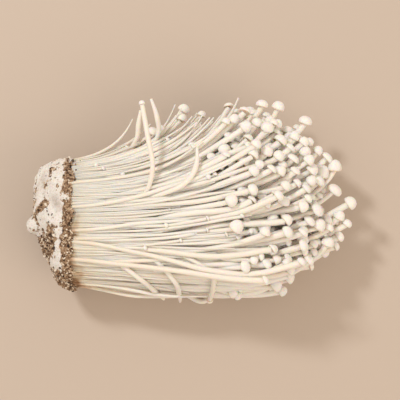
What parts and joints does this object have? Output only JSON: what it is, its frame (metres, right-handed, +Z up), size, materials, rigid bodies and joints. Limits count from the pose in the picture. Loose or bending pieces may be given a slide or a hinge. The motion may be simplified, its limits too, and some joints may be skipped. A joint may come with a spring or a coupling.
{
  "type": "enoki mushroom bunch",
  "caption": "Bunch of long thin enoki mushrooms lying on its side, stems fanning out from a plug of sawdust and mycelium to small domed caps.",
  "frame": {"origin": "on the surface the bunch lies on, under the middle of its bounding box", "axes": "+X runs along the bunch from the plug to the caps, +Z is up from the surface, and +Y is across the bunch, towards the side the stems curve to"},
  "size_m": [0.1528, 0.0936, 0.0496],
  "materials": {
    "substrate": "matte",
    "mushroom_flesh": "satin"
  },
  "bodies": {
    "root": {"substrate_plug": "substrate", "grown_together_base": "mushroom_flesh", "tuft_row1_1": "mushroom_flesh", "tuft_row1_2": "mushroom_flesh", "tuft_row1_3": "mushroom_flesh", "tuft_row1_4": "mushroom_flesh", "tuft_row1_5": "mushroom_flesh", "tuft_row1_6": "mushroom_flesh", "tuft_row1_7": "mushroom_flesh", "tuft_row2_1": "mushroom_flesh", "tuft_row2_2": "mushroom_flesh", "tuft_row2_3": "mushroom_flesh", "tuft_row2_4": "mushroom_flesh", "tuft_row2_5": "mushroom_flesh", "tuft_row2_6": "mushroom_flesh", "tuft_row2_7": "mushroom_flesh", "tuft_row2_8": "mushroom_flesh", "tuft_row3_1": "mushroom_flesh", "tuft_row3_2": "mushroom_flesh", "tuft_row3_3": "mushroom_flesh", "tuft_row3_4": "mushroom_flesh", "tuft_row3_5": "mushroom_flesh", "tuft_row3_6": "mushroom_flesh", "tuft_row3_7": "mushroom_flesh", "tuft_row3_8": "mushroom_flesh", "tuft_row4_1": "mushroom_flesh", "tuft_row4_2": "mushroom_flesh", "tuft_row4_3": "mushroom_flesh", "tuft_row4_4": "mushroom_flesh", "tuft_row4_5": "mushroom_flesh", "tuft_row4_6": "mushroom_flesh", "tuft_row4_7": "mushroom_flesh", "tuft_row5_1": "mushroom_flesh", "tuft_row5_2": "mushroom_flesh", "tuft_row5_3": "mushroom_flesh", "tuft_row5_4": "mushroom_flesh", "tuft_row5_5": "mushroom_flesh", "crossing_mushroom_left": "mushroom_flesh", "crossing_mushroom_right": "mushroom_flesh", "upright_mushroom_short": "mushroom_flesh", "upright_mushroom_long": "mushroom_flesh", "bent_mushroom_left": "mushroom_flesh", "bent_mushroom_right": "mushroom_flesh", "hanging_mushroom": "mushroom_flesh", "curled_mushroom": "mushroom_flesh"}
  },
  "joints": []
}
